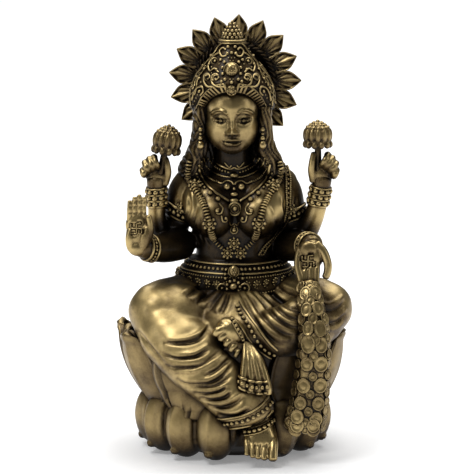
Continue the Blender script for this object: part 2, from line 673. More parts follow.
def body_forms():
    bm = bmesh.new()
    limb(bm, [[0, 3.5, 47, 18.6, 13.5], [0, 3.2, 55, 16.8, 12.2], [0, 2.6, 60, 13.8, 10.4],
              [0, 2, 64, 12.6, 9.2], [0, 1.8, 70, 13.8, 9.4], [0, 2, 77, 15.6, 9.4],
              [0, 2.6, 83, 16.4, 8.6], [0, 3, 87.5, 13.6, 7.2], [-0.4, 2.4, 91, 7, 5.6],
              [-0.8, 0.6, 94.5, 5.3, 5], [-0.8, -0.4, 99, 5.2, 5]], sides=40)
    limb(bm, GIRDLE, sides=48, dome=0.1)
    for side in (-1, 1):
        ball(bm, (side * 6.9, -5.2, 76.3), (6.9, 6.2, 7))
        ball(bm, (side * 7.4, -2.6, 80), (6.6, 6, 7.4), (-18, 0, 0))
        ball(bm, (side * 11.6, -2.2, 78.6), (5.2, 6.2, 8.6), (0, side * 8, 0))
        limb(bm, [[side * 13.4, 2.6, 88.6, 4.6], [side * 15.6, 3, 83, 6],
                  [side * 17, 3.2, 76.6, 5.9]])
    upright_arms = [
        [[-14.4, 3.4, 86.4, 5.2], [-16.6, 4, 80.4, 4.8], [-18.8, 3.8, 73, 4.3], [-20, 2, 67, 4.3]],
        [[14.8, 3.4, 86.6, 5.2], [16.8, 4, 80.6, 4.8], [19, 3.8, 74, 4.5], [20.2, 2.4, 67.5, 4.4]],
        [[-22.6, 1, 65, 4], [-25, -0.6, 72.6, 3], [-25.2, -2.4, 81, 2.9], [-25.4, -3, 88, 3.1]],
        [[21.6, 1.4, 67.5, 4.2], [25.4, -0.6, 75, 3.3], [27.2, -2.2, 82.5, 3.1],
         [28.2, -2.8, 88.4, 3.1]],
    ]
    level_arms = [
        [[-17.4, 0.5, 66.4, 5.4], [-22.4, -6, 66, 4.8], [-27, -11.6, 66.8, 4], [-29.8, -14, 68, 3.6]],
        [[17, 1, 65.6, 5.2], [20.4, -5.4, 66.4, 4.8], [23.2, -11.4, 67.8, 4], [24.4, -14.4, 68, 3.7]],
    ]
    for arm in upright_arms:
        limb(bm, arm)
    for arm in level_arms:
        limb(bm, arm, (0, 0, 1))
    return bm


# %% The folds of the bodice
body = Skin(body_forms(), "body_and_arms", 0.45, 9)
BLOUSE_FOLDS = [
    [(-16, 83), (-15.4, 78.6), (-16.4, 74.6)], [(-14.2, 84), (-13.4, 79), (-14.6, 73)],
    [(-12.2, 75), (-12.4, 71), (-11, 66.6)], [(-13.6, 72.6), (-13.2, 69), (-11.6, 65)],
    [(15.6, 83.6), (15, 79), (15.8, 75)], [(12.6, 74), (12.2, 70), (10.6, 66)],
    [(-10.2, 71.6), (-9.6, 68), (-8, 65)], [(-19.4, 81.6), (-18.6, 77.6)], [(19, 82), (18.4, 78)],
]
carve(body, BLOUSE_FOLDS, 0.6, 0.4, taper=0.4)
carve(body, [[(x + 0.9, h) for x, h in line] for line in BLOUSE_FOLDS], 0.45, -0.35, taper=0.4)
piece(body.mesh, "body_and_arms", DARK_BRASS)

# %% [markdown]
# ## Hands and feet
#
# A finger is a thin limb with a bend at each joint, a palm a flattened ball with a pad under
# the thumb. They are fused at a finer step than the body, because the gap between two fingers
# is only half a millimetre.

# %% Open hands
def finger(bm, *places, width=1.1):
    """A finger through its joints, a little thicker at the knuckle than at the tip."""
    widths = np.linspace(width, width * 0.82, len(places))
    stations = [[*place, wide] for place, wide in zip(places, widths)]
    limb(bm, stations, (1, 0.01, 0.01), sides=14, steps=5)


def blessing_hand(bm):
    ball(bm, (-30.7, -14.6, 71.6), (4.1, 2.3, 6.9))
    ball(bm, (-31, -14.6, 75), (3.9, 2, 4))
    ball(bm, (-28.6, -16, 71), (2, 2, 4.4), (0, 10, 0))
    ball(bm, (-33.4, -15.6, 70.4), (1.5, 1.5, 4))
    ball(bm, (-31, -15.4, 67.6), (3.1, 2, 2.6))
    for i, tip in enumerate((82.6, 83.8, 84.5, 83.7)):
        x = -33.6 + 1.58 * i
        finger(bm, (x, -14.8, 76), (x, -15.2, 79.5), (x + 0.1, -14.8, tip), width=0.86)
    finger(bm, (-27.6, -15.6, 70), (-26.8, -16.4, 74), (-27.4, -16.4, 78), width=1.2)


def giving_hand(bm):
    ball(bm, (24, -15.8, 65.6), (4.4, 2.6, 5.2), (-12, 0, 0))
    ball(bm, (23.4, -17, 67.4), (3, 1.6, 2.8))
    finger(bm, (20.6, -16, 67.4), (19.9, -17.4, 63), (20.5, -18.6, 59.8), (21.2, -19.2, 57),
           width=1.3)
    for i in range(3):
        x = 22.4 + 1.9 * i
        finger(bm, (x, -16.8, 64), (x - 0.2, -18.6, 59), (x - 0.4, -20, 54.4), width=1.1)
    finger(bm, (26, -16, 69), (28.2, -17, 66.6), (29.5, -17.6, 63), (29.4, -18, 60.2),
           (28.8, -18.2, 58.8), width=1.5)


# %% Closed hands and feet
def fist(bm, palm, fingers, thumb):
    """A hand closed round a stem: each finger curls over towards the viewer."""
    x, z = palm
    ball(bm, (x, -2.6, z), (3.5, 2.9, 3.7))
    ball(bm, (x, -3, z - 2.4), (2.9, 2.6, 3))
    for (x0, z0), (x1, z1) in fingers:
        over = ((x0 + x1) / 2, -6.4, (z0 + z1) / 2)
        finger(bm, (x1, -2, z1 - 0.4), (x1, -4.8, z1), over, (x0, -5.4, z0), (x0, -3.4, z0 - 0.3),
               width=1.15)
    finger(bm, *thumb, width=1.35)


def feet(bm):
    """The lower foot stands on its toes' tips, and the upper one shows its toes only."""
    limb(bm, [[7.4, -24.8, 16.4, 4.2, 3.8], [7.9, -26.2, 12.6, 4.5, 4.1], [8.2, -28, 9.6, 5.1, 3.8],
              [8.2, -29.4, 7.2, 5.5, 3.1], [8.2, -30, 5.6, 5.2, 2.4]])
    for x, tip, wide in ((3.8, 4.6, 1.05), (5.6, 3.9, 1.1), (7.4, 3.5, 1.15), (9.3, 3.2, 1.25),
                         (12, 3.1, 1.8)):
        finger(bm, (x / 2 + 4.2, -26.8, tip + 8.4), (x, -30, tip + 4.9), (x, -32.2, tip + 2.2),
               (x, -33.4, tip), width=wide)
    ball(bm, (-1, -26.4, 43), (5.2, 3.8, 4), (0, 38, 0))
    for i, wide in enumerate((1.7, 1.25, 1.2, 1.15, 1.05)):
        finger(bm, (-3.2 + 1.3 * i, -27.8, 43.6 - 1.6 * i), (-5 + 1.5 * i, -29.2, 43.8 - 1.75 * i),
               (-6.2 + 1.6 * i, -29.2, 42.6 - 1.8 * i), width=wide)


def hands_and_feet():
    bm = bmesh.new()
    blessing_hand(bm)
    giving_hand(bm)
    fist(bm, (-25.2, 89),
         (((-24.7, 92.2), (-25.9, 95.2)), ((-26.3, 91.6), (-27.4, 94.6)),
          ((-27.9, 90.8), (-28.9, 93.4)), ((-29.2, 89.6), (-29.6, 91))),
         ((-22.6, -3.4, 86.6), (-21.6, -4.4, 90), (-21.9, -4.6, 93), (-22.4, -4.2, 94.8)))
    fist(bm, (28, 89.6),
         (((27.8, 92.9), (29.7, 96)), ((29.2, 92), (31.2, 94.9)),
          ((30.6, 90.9), (32.4, 93.2)), ((31.8, 89.2), (32.6, 91))),
         ((25.2, -3.4, 87.6), (24.6, -4.4, 91), (24.9, -4.6, 94), (25.4, -4.2, 96.4)))
    feet(bm)
    return bm


# %% [markdown]
# ## Lines on the palms and toes
#
# The joints of the blessing hand and the gaps between the toes are cut. Both open palms carry
# the traditional sign of good fortune. Its ground is sunk here, and its thin bars are laid in
# later with the other threads.

# %% Cut the hands and toes
limbs_end = Skin(hands_and_feet(), "hands_and_feet", 0.26, 3)
FINGER_JOINTS = [
    [(-34.6, 76.5), (-28.4, 76.3)], [(-34.2, 78.6), (-28.4, 78.5)], [(-34, 80.3), (-28.4, 80.4)],
]
TOE_GAPS = [[(x, -0.4), (x, -2.4), (x, -4.8)] for x in (4.7, 6.5, 8.3, 10.4)]
SIGN = [[(-1, 1), (-1, 0), (1, 0), (1, -1)], [(1, 1), (0, 1), (0, -1), (-1, -1)]]
SIGN_PLACES = [(-31.9, 71.3, 1.75), (23.7, 60.5, 1.9)]  # x, height and half size on each palm


def palm_sign(x, high, size):
    """The sign of good fortune, as (x, height): the straight parts of two bent bars that cross."""
    bars = []
    for arm in SIGN:
        corners = [(x + a * size, high + b * size) for a, b in arm]
        bars += [list(bar) for bar in zip(corners, corners[1:])]
    return bars


carve(limbs_end, FINGER_JOINTS, 0.3, -0.2)
carve(limbs_end, TOE_GAPS, 0.24, -0.6)
for place in SIGN_PLACES:
    carve(limbs_end, palm_sign(*place), 0.8, -0.55, taper=0.02)
piece(limbs_end.mesh, "hands_and_feet", SMOOTH_BRASS)

# %% [markdown]
# ## The head
#
# The face is calm and plain, on a sculptor's usual proportions: the eyes at half height, the
# nose a third of the way below them, the mouth a third below the nose. It is built from soft
# forms and then drawn on from straight ahead, because a face is symmetrical about its own
# middle line and not about the camera's.

# %% The head's soft forms
HEAD = Vector((-0.9, -1.4, 107.5))


def head_forms():
    bm = bmesh.new()
    ball(bm, HEAD + Vector((0, 0.4, 2.4)), (9, 9.2, 8.8), columns=40, rows=28)
    ball(bm, HEAD + Vector((0, -1.5, 4.6)), (8.5, 8.6, 8), columns=40, rows=28)
    ball(bm, HEAD + Vector((0, -1.2, -2.4)), (8.8, 8, 8.6), columns=40, rows=28)
    ball(bm, HEAD + Vector((0, -4.4, -7.4)), (4.6, 3.7, 3.8), columns=32, rows=20)
    for side in (-1, 1):
        ball(bm, HEAD + Vector((side * 4.1, -3.5, -3.2)), (3.4, 3.8, 4.4))
    return bm


face = Skin(head_forms(), "head", 0.2, 55)


# %% Draw the face
def on_face(*strokes):
    """Presses or draws out soft spots: (across, up, width, height, amount), on both sides."""
    ahead = face.places[:, 1] < HEAD.y - 2
    across = face.places[:, 0] - HEAD.x
    up = face.places[:, 2] - HEAD.z
    lift = np.zeros(len(across))
    for x, z, wide, high, amount in strokes:
        for side in ((-1, 1) if x else (1,)):
            d = ((across - side * x) / wide) ** 2 + ((up - z) / high) ** 2
            lift += amount * np.clip(1 - d, 0, 1) ** 2
    move = np.zeros_like(face.places)
    move[:, 1] = -lift * ahead
    face.move(move)


def face_line(points, width, height):
    """A line on the face, as (across, up), and its mirror image on the other side."""
    ahead_eye = (HEAD.x, -4000, HEAD.z)
    sides = [[(HEAD.x + side * x, HEAD.z + z) for x, z in points] for side in (-1, 1)]
    if points[0][0] == 0:
        sides = [sides[0][:0:-1] + sides[1]]
    carve(face, sides, width, height, ahead_eye)


# Eye sockets, bridge and tip of the nose
on_face((3.8, 0.4, 3.3, 2.5, -1.5), (0, -1.2, 1.5, 5, 1.3), (0, -3.5, 2.1, 1.8, 1.9))
# Wings of the nose, the mouth's cushion and the forehead
on_face((1.6, -3.8, 1.3, 1.1, 0.9), (0, -6.9, 3.6, 2, 0.8), (0, 4, 3, 3, 0.3))
# Eyeballs and chin
on_face((3.8, 0.3, 2.4, 1.4, 1.1), (0, -9.4, 2.4, 1.5, 0.6))
# Lids, with a groove on either side of them, and brows
lower_lid = [(1.4, 0), (2.4, -0.85), (3.8, -1.1), (5.1, -0.7), (6, 0.1)]
upper_lid = [(1.4, 0), (2.4, 1.05), (3.8, 1.5), (5.2, 1.0), (6.2, 0.1)]
face_line(upper_lid, 0.32, 0.75)
face_line(lower_lid, 0.28, 0.55)
face_line([(x, z - 0.55) for x, z in upper_lid[1:-1]], 0.2, -0.4)
face_line([(x, z + 0.5) for x, z in lower_lid[1:-1]], 0.18, -0.2)
face_line([(1.6, 1.6), (2.7, 2.05), (4, 2.2), (5.6, 1.5)], 0.24, -0.35)
face_line([(1.5, 2.4), (2.6, 3.4), (4.1, 3.8), (5.7, 3.2), (6.8, 2)], 0.38, 0.6)
# Irises, each a ring and a shallow pit
iris = [(3.75 + 0.8 * x, 0.15 + 0.8 * y) for x, y in circle(8) + circle(1)]
face_line(iris, 0.22, -0.38)
on_face((3.75, 0.15, 0.5, 0.5, -0.3))
# Upper lip, lower lip and the line between them
face_line([(0, -5.9), (0.7, -5.7), (1.8, -6.1), (2.8, -6.5)], 0.42, 0.4)
face_line([(0, -7.5), (1, -7.5), (2, -7.15), (2.7, -6.7)], 0.5, 0.42)
face_line([(0, -6.75), (1.2, -6.7), (2.6, -6.6), (3.1, -6.4)], 0.24, -0.5)
# Nostrils
face_line([(0.45, -4.6), (1, -4.5)], 0.32, -0.6)
face_line([(2.1, -3.6), (2.3, -4.4), (1.9, -5)], 0.3, -0.2)


# %% Set the brow mark and finish the head
FACE_BRASS = brass("face brass", reach=0.6, low=0.33, high=1.0, bright=0.32)
brow = bmesh.new()
bmesh.ops.create_icosphere(
    brow, subdivisions=3, radius=0.75, matrix=Matrix.Translation(HEAD + Vector((0, -9.3, 3.4)))
)
piece(to_mesh(brow, "brow_mark"), "brow_mark", SMOOTH_BRASS)
piece(face.mesh, "head", FACE_BRASS)

# %% [markdown]
# ## Hair
#
# Thick locks fall behind both ears to the shoulders, and a broad fall hangs down the back.
# Every strand could be a thread of its own, but hundreds of threads would lie loose on the
# head. The locks are soft forms instead, fused like the limbs, and a wave function scores all
# their strands at once.

# %% The locks
def hair_forms():
    bm = bmesh.new()
    for side in (-1, 1):
        limb(bm, [[side * 10.2 - 0.9, -1, 113, 2.4, 4], [side * 10.2 - 0.9, -1.4, 106, 2.4, 4],
                  [side * 10.8 - 0.9, -0.4, 98, 3, 4], [side * 13.8 - 0.9, 0.8, 90, 3.9, 4]])
        limb(bm, [[side * 8 - 0.9, 3.6, 106, 3, 3], [side * 9.4 - 0.9, 3.4, 96, 4, 3.4],
                  [side * 11 - 0.9, 3.4, 87, 4, 3]])
    limb(bm, [[-0.6, 5.4, 112, 10.6, 5], [-0.6, 7.4, 100, 10.4, 5], [-0.2, 9.4, 88, 9.6, 4.6],
              [0, 10.6, 76, 8.4, 4], [0, 10.6, 67, 7, 3.2]], sides=36, dome=0.9)
    return bm


hair = Skin(hair_forms(), "hair", 0.4, 4)


def score_strands(skin, pitch, depth):
    """Scores strands that follow the locks outwards and sway a little as they fall."""
    x, y, z = skin.places.T
    spread = 1 + np.clip((104 - z) / 40, 0, 0.5)
    sway = (x + 0.9) / spread + 0.9 * np.sin(z / 1.9) + 0.25 * np.sin(z / 0.9 + x) + 0.3 * y
    groove = np.abs(np.sin(math.pi * sway / pitch)) ** 0.7 - 0.6
    skin.move(skin.normals * (depth * groove)[:, None])


score_strands(hair, 1.35, 0.85)
piece(hair.mesh, "hair", DARK_BRASS)

# %% [markdown]
# ## The halo
#
# Behind the head stands a disc with a roped border and a fan of thirteen pointed petals. One
# petal is a grid that takes its outline from a few widths and is puffed up inside a thin rim,
# then extruded to give it a back. Cutting petals out of a plate would be quicker, but their
# faces would be flat and their rims sharp.

# %% The halo
HALO_CENTRE = Vector((0, 8.4, 118.5))
HALO_PETALS = 13
HALO_ROLL, HALO_PITCH = 3.5, 21.6  # the middle petal's lean and the step, in degrees
ROPE_STRANDS = 46


def halo_frame(turn):
    """The frame of a place round the halo: x across, y up the petal, z towards the viewer."""
    upright = Matrix.Rotation(math.pi / 2, 4, "X")
    roll = Matrix.Rotation(math.radians(turn), 4, "Y")
    return Matrix.Translation(HALO_CENTRE) @ roll @ upright


PETAL_OUTLINE = [(12.6, 2.2), (14, 2.7), (15.8, 3.1), (17.4, 3.05), (18.5, 2.6), (19.5, 1.85),
                 (20.6, 0.9), (21.5, 0.03)]


def halo_petals():
    bm = bmesh.new()
    radii, widths = np.array(PETAL_OUTLINE).T
    for i in range(HALO_PETALS):
        turn = HALO_ROLL + HALO_PITCH * (i - (HALO_PETALS - 1) / 2)
        leaf = bmesh.ops.create_grid(bm, x_segments=22, y_segments=26, size=1)["verts"]
        for v in leaf:
            u, t = v.co.x, (v.co.y + 1) / 2
            radius = radii[0] + (radii[-1] - radii[0]) * t
            wide = float(np.interp(radius, radii, widths))
            inside = min(1, max(0, ((1 - abs(u)) * wide - 0.4) / 0.2))
            fan = math.atan2(u * wide, radius - 12.4)
            bulge = 1.1 * (1 - u * u) + 0.26 * math.cos(fan * 19)
            v.co = Vector((u * wide, radius, 1.2 + inside * (bulge - 1.15)))
        sheet = list({f for v in leaf for f in v.link_faces})
        back = bmesh.ops.extrude_face_region(bm, geom=sheet, use_keep_orig=True)["geom"]
        back = [g for g in back if isinstance(g, bmesh.types.BMVert)]
        for v in back:
            v.co.z = -0.8
        bmesh.ops.transform(bm, matrix=halo_frame(turn), verts=leaf + back)
    return to_mesh(bm, "halo_petals")


def halo_disc():
    bm = bmesh.new()
    for radius, depth, back in ((14.6, 2.2, -0.6), (11, 2.8, -0.1)):
        bmesh.ops.create_cone(
            bm, cap_ends=True, segments=96, radius1=radius, radius2=radius, depth=depth,
            matrix=halo_frame(0) @ Matrix.Translation((0, 0, back)),
        )
    strand = Matrix.Translation((0, 12.3, 1.5)) @ Matrix.Rotation(math.radians(34), 4, "Z")
    strand @= Matrix.Diagonal((1.6, 0.6, 1.1, 1))
    for i in range(ROPE_STRANDS):
        place = halo_frame(360 / ROPE_STRANDS * i)
        bmesh.ops.create_icosphere(bm, subdivisions=2, radius=1, matrix=place @ strand)
    return bm


piece(halo_petals(), "halo_petals", DIM_BRASS)
piece(to_mesh(halo_disc(), "halo_disc"), "halo_disc", DEEP_BRASS)

# %% [markdown]
# ## The crown
#
# The crown is a dome with a raised rim and a small finial. It is turned from an outline, as on
# a lathe, because its beads later lie in level rows. Then its points are pushed: the rim
# rises over the brow, and the back is flatter than the front.

# %% The crown's dome
CROWN = [(0, 109), (12.4, 109.2), (14, 111.2), (13.5, 113.6), (13.5, 116.4), (12.4, 119.6),
         (10.5, 122.9), (8.1, 126), (6, 128.6), (4.6, 130.4), (4, 131.4), (4.1, 131.9),
         (4.1, 132.5), (3.6, 132.9), (2.9, 133), (3.1, 134.2), (2.6, 135.6), (1.6, 137.2),
         (0.6, 138.4), (0, 138.7)]


def on_crown(turn, radius, level):
    """A point of the crown. Its rim rises over the brow and its back is flatter."""
    a = math.radians(turn)
    forward = math.cos(a) * radius
    rise = min(8.4, max(0, (forward - 2) * 0.8)) * min(1, max(0, (122 - level) / 13))
    back = -0.6 - forward * (0.86 if forward > 0 else 0.62)
    return Vector((HEAD.x + math.sin(a) * radius, back, level + rise))


def crown_dome():
    bm = bmesh.new()
    spin_profile(bm, CROWN, 72)
    for v in bm.verts:
        v.co = on_crown(math.degrees(math.atan2(v.co.x, -v.co.y)), v.co.xy.length, v.co.z)
    rounder = ("SUBSURF", {"levels": 1, "render_levels": 1})
    return with_modifiers(to_mesh(bm, "crown"), rounder)


piece(crown_dome(), "crown", DEEP_BRASS)

# %% [markdown]
# ## Wires and beads
#
# The jewellery was laid on the wax as rolled threads and tiny balls. Its lines are drawn in
# the drawing plane, and each point is thrown from the eye onto what is already there, so that
# a chain lies on the chest and not in front of it. A thread is a curve with a round bevel,
# which never twists, and a bead is a small icosphere, because there are hundreds of them.

# %% Tools for jewellery
def surface_of(*names):
    """One tree of the surfaces already made, for lines to be thrown on."""
    verts, faces = [], []
    for name in names:
        places, rings = LAID[name]
        faces += [tuple(i + len(verts) for i in ring) for ring in rings]
        verts += places
    return BVHTree.FromPolygons(verts, faces)


def lay(tree, points, lift, steps=5):
    """Throws a drawn line (x, height) onto a surface and lifts it a little off it."""
    laid = []
    for x, high in between(points, steps) if len(points) > 1 else points:
        ray = (Vector((x, 0, high)) - EYE).normalized()
        place, normal, _, _ = tree.ray_cast(EYE, ray)
        if place:
            laid.append(place + normal * lift)
    return laid


def both(points, middle):
    """A drawn line given by its distance from a middle line, on both sides of it."""
    return [[(middle + side * x, high) for x, high in points] for side in (-1, 1)]


def spots(tree, middle, places, lift, sides=(-1, 1)):
    """Single places, as (distance from the middle, height), thrown on a surface."""
    drawn = [(middle + side * x, high) for side in sides for x, high in places]
    return [place for spot in drawn for place in lay(tree, [spot], lift)]


def spaced(line, pitch, closed=False):
    """Evenly spaced places along a line, or round a closed one."""
    if closed:
        return spaced([*line, line[0]], pitch)[:-1]
    line = np.array([tuple(p) for p in line])
    lengths = np.r_[0, np.cumsum(np.linalg.norm(np.diff(line, axis=0), axis=1))]
    number = max(2, round(lengths[-1] / pitch) + 1)
    marks = np.linspace(0, lengths[-1], number)
    return [Vector(p) for p in np.column_stack([np.interp(marks, lengths, c) for c in line.T])]


# %% Threads, beads, rings and rosettes
def add_wires(bm, lines, radius, closed=False, rounds=1):
    """Rolls threads of one radius along lines of points."""
    curve = bpy.data.curves.new("threads", "CURVE")
    curve.dimensions = "3D"
    curve.bevel_depth, curve.bevel_resolution = radius, rounds
    curve.use_fill_caps = not closed
    for line in lines:
        if len(line) < 2:
            continue
        thread = curve.splines.new("POLY")
        thread.points.add(len(line) - 1)
        thread.points.foreach_set("co", [v for p in line for v in (*p, 1)])
        thread.use_cyclic_u = closed
    holder = bpy.data.objects.new("threads", curve)
    mesh = bpy.data.meshes.new_from_object(holder)
    bm.from_mesh(mesh)
    bpy.data.objects.remove(holder)
    bpy.data.meshes.remove(mesh)
    bpy.data.curves.remove(curve)


def add_beads(bm, places, radius, detail=2, shape=(1, 1, 1)):
    size = Matrix.Diagonal((*shape, 1))
    for place in places:
        bmesh.ops.create_icosphere(
            bm, subdivisions=detail, radius=radius, matrix=Matrix.Translation(place) @ size
        )


def add_ring(bm, place, facing, radius, thickness):
    """A small ring round a place, lying flat against the direction it faces."""
    turn = Vector(facing).to_track_quat("Z", "Y").to_matrix()
    line = [place + turn @ Vector((radius * x, radius * y, 0)) for x, y in circle(20)]
    add_wires(bm, [line], thickness, closed=True)


def rosette(bm, place, facing, radius):
    """A round flower: a domed heart, a ring and a wreath of small petals."""
    turn = Vector(facing).to_track_quat("Z", "Y").to_matrix()
    wreath = [place + turn @ Vector((radius * x, radius * y, -0.1)) for x, y in circle(8)]
    add_beads(bm, [place], radius * 0.42)
    add_ring(bm, place, facing, radius * 0.62, radius * 0.13)
    add_beads(bm, wreath, radius * 0.3)


def finish_jewel(bm, name, finish=CARVED_BRASS):
    piece(to_mesh(bm, name), name, finish, worn=False)


# %% [markdown]
# ## The crown's relief
#
# The crown is covered in scrolls. A rim of short upright bars runs round the brow, and above
# it lie an oval jewel, a round one below it, and pairs of spirals, mirrored about the middle.

# %% Lay the relief on the crown
CROWN_MIDDLE = -1.1
RIM_LOW = [(10, 107.6), (9.4, 109.4), (8.8, 111.1), (8, 112.5), (6.7, 114), (5, 115.2),
           (3, 115.9), (1.5, 116.1)]
RIM_HIGH = [(12.2, 108.4), (11.6, 110.2), (10.7, 112.1), (9.8, 113.9), (8.3, 115.7),
            (6.7, 116.9), (5, 117.8), (2.4, 118.3)]
CROWN_SCROLLS = [
    [(2.1, 117.4), (4.7, 117.5), (6.3, 118.9), (6, 120.9), (4.7, 121.4), (4.1, 120.2),
     (5, 119.5), (5.3, 120.2)],
    [(5.7, 117.4), (7.6, 117.5), (8.7, 118.9), (8.6, 120.9), (7.5, 121.5), (6.8, 120.4),
     (7.6, 119.7)],
    [(4.1, 121.9), (5.3, 123.2), (6.8, 122.4), (7.3, 124.2), (6.3, 126.2), (5, 127.6),
     (3.4, 128.5)],
    [(1.4, 128.5), (1.9, 127.2), (3.2, 127.3), (3.7, 128.8), (2.6, 129.9), (1.8, 129.2)],
    [(12.4, 113.2), (11.9, 115.2), (10.9, 117), (9.3, 117.4), (8.9, 116), (9.9, 114.9)],
    [(12.9, 111.6), (13, 116.2), (12.7, 118.5), (11.2, 121.2), (9.4, 123.2), (7.6, 125.5),
     (5.6, 127.8), (4, 130.3), (2.8, 131.6)],
    [(11.6, 117.6), (11.4, 119), (10.4, 120.6), (9.2, 122)],
]
CROWN_BEADS = [
    ([(4.8, 122.9), (7, 124.6), (3.4, 126), (5.9, 119.4), (5.2, 125.6), (8.6, 123),
      (10.2, 120), (10.1, 115.9), (3.2, 119), (8.1, 127), (6.2, 128.9), (12, 117)], 0.55, 0.2),
    ([(1.1, 130.2), (1.3, 128)], 0.6, 0.2),
    ([(2.2, 125.2), (2.8, 123.4), (2.8, 121.4), (2.1, 119.6)], 0.6, 0.3),
]
cap = surface_of("crown")


def brow_rim(bm):
    """Short upright bars between two threads that follow the brow."""
    for inner, outer in zip(both(RIM_LOW, CROWN_MIDDLE), both(RIM_HIGH, CROWN_MIDDLE)):
        rows = [spaced(lay(cap, inner, 0.2), 1.25), spaced(lay(cap, outer, 0.3), 1.25)]
        number = min(len(row) for row in rows)
        bars = []
        for i in range(number):
            low, high = (row[round(i * (len(row) - 1) / (number - 1))] for row in rows)
            bars.append([low, (low + high) / 2 - Vector((0, 0.4, 0)), high])
        add_wires(bm, bars, 0.48)
        for row, radius in zip(rows, (0.22, 0.26)):
            add_wires(bm, [row], radius)


def crown_front(bm):
    for line in CROWN_SCROLLS:
        add_wires(bm, [lay(cap, side, 0.25) for side in both(line, CROWN_MIDDLE)], 0.34)
    for places, radius, lift in CROWN_BEADS:
        add_beads(bm, spots(cap, CROWN_MIDDLE, places, lift), radius)
    for x, high, radius in ((5.3, 125.6, 1), (4.9, 120, 1), (7.6, 120.2, 0.9)):
        for place in spots(cap, CROWN_MIDDLE, [(x, high)], 0.25):
            add_ring(bm, place, TOWARD_EYE, radius, 0.26)
    add_beads(bm, spots(cap, CROWN_MIDDLE, [(0, 128.2), (0, 118.7)], 0.3, (1,)), 0.6)
    for high, radius, tall in ((122.5, 2.1, 1.15), (116.6, 1.2, 1)):
        for place in spots(cap, CROWN_MIDDLE, [(0, high)], 0.5, (1,)):
            add_beads(bm, [place], radius, 3, (1, 0.7, tall))
            add_ring(bm, place - TOWARD_EYE * 0.2, TOWARD_EYE, radius * 1.12, 0.3)
            flower = [place + Vector((x * 1.1, -radius * 0.62, z * 1.25)) for x, z in circle(6)]
            add_beads(bm, flower + [place - Vector((0, radius * 0.72, 0))], 0.3)


print("scrolls on each side of the crown:", len(CROWN_SCROLLS))


# %% The finial and the crown's back
FINIAL_ROWS = [(133.4, 2.9, 0.7, 14), (134.5, 2.75, 0.65, 13), (135.6, 2.2, 0.6, 11),
               (136.7, 1.6, 0.55, 8), (137.7, 0.9, 0.5, 5), (138.4, 0.2, 0.5, 1)]
BACK_ROWS = [(112.5, 0.5, 60), (114.6, 0.42, 64), (124.4, 0.45, 44), (121, 0.4, 56),
             (117.6, 0.4, 60), (127.6, 0.45, 34)]


def crown_radius(level):
    """The crown's radius at a level above its rim."""
    radii, levels = np.array([row for row in CROWN if row[1] < 133]).T
    return float(np.interp(level, levels, radii))


def finial(bm):
    for level, radius, size, number in FINIAL_ROWS:
        turns = [360 * (i + (level * 10 % 2) / 2) / number for i in range(number)]
        add_beads(bm, [on_crown(a, radius, level) for a in turns], size, shape=(1, 1, 1.1))
    for level, radius in ((131.8, 4.2), (132.6, 4.1)):
        add_wires(bm, [[on_crown(9 * i, radius, level) for i in range(40)]], 0.36, closed=True)


def crown_back(bm):
    """Rows of beads and upright waves behind the ears, where the scrolls end."""
    for level, size, number in BACK_ROWS:
        turns = [360 * i / number for i in range(number)]
        behind = [a for a in turns if abs((a + 180) % 360 - 180) > 60]
        radius = crown_radius(level) + 0.1
        add_beads(bm, [on_crown(a, radius, level) for a in behind], size, detail=1)
    for start in range(60, 301, 20):
        wave = []
        for step, level in enumerate((113, 115.4, 118, 120.6, 123, 125.4)):
            turn = start + 5 * math.sin(1.5 * step)
            wave.append(on_crown(turn, crown_radius(level) + 0.15, level))
        add_wires(bm, [wave], 0.3)


print("scales on the finial:", sum(row[3] for row in FINIAL_ROWS))


# %% Grains on the bare ground
def granulate(bm, above, below, pitch=0.98, gap=0.62, radius=0.34):
    """Fills the bare ground of the crown's front with small grains, as a goldsmith does."""
    taken = KDTree(len(bm.verts))
    for i, v in enumerate(bm.verts):
        taken.insert(v.co, i)
    taken.balance()
    across, levels = np.array(sorted(above)).T
    for row in range(int((below - 109) / pitch)):
        for step in range(-14, 15):
            x, high = (step + row % 2 / 2) * pitch, 109 + row * pitch
            if high < np.interp(abs(x), across, levels):
                continue
            for place in spots(cap, CROWN_MIDDLE, [(x, high)], 0.05, (1,)):
                if taken.find(place)[2] > gap and place.y < 1:
                    add_beads(bm, [place], radius, detail=1)


def crown_relief():
    bm = bmesh.new()
    brow_rim(bm)
    crown_front(bm)
    finial(bm)
    crown_back(bm)
    granulate(bm, [(x, high + 0.9) for x, high in RIM_HIGH], 131.4)
    return bm


finish_jewel(crown_relief(), "crown_relief")

# %% [markdown]
# ## Necklaces and the garland
#
# On the chest lie a choker with beads between two rims, a beaded string, a smooth crescent
# with a round medallion, and over them a long garland of flat discs with rosettes. Each line
# is drawn for one side and mirrored, since a goldsmith's work is even, while the surface
# that it falls on makes the two sides differ a little.

# %% Lay the necklaces
CHEST_MIDDLE = -0.27
THREADS = [
    ([(6.9, 94.6), (6.2, 93.4), (4.7, 92.1), (2.5, 91.1), (0.9, 90.9), (0, 91.4)], 0.26),
    ([(10, 94.5), (9.2, 91.9), (7.6, 90.3), (5.4, 89), (2.5, 88.1), (0, 88)], 0.3),
    ([(11.4, 92.2), (11.1, 89.3), (9.8, 86.7), (7.6, 84.3), (5, 82.2), (1.9, 80.2)], 0.46),
    ([(5.8, 86.9), (4.9, 86.2), (3.8, 86), (2.5, 86.8), (0.9, 86.5), (0.2, 85.6)], 0.28),
    ([(4.9, 79.4), (3.8, 77.9), (4.2, 76.3), (5.5, 76.2), (5.8, 77.3), (5, 77.6)], 0.3),
    ([(4.2, 75.5), (3.8, 73.7), (2.7, 73.6), (2.5, 74.5), (3.1, 74.9)], 0.3),
    ([(1.7, 73.4), (1.1, 72.4), (0.2, 72.9)], 0.28),
    ([(3, 92.9), (1.6, 91.4), (0.8, 92)], 0.24),
]
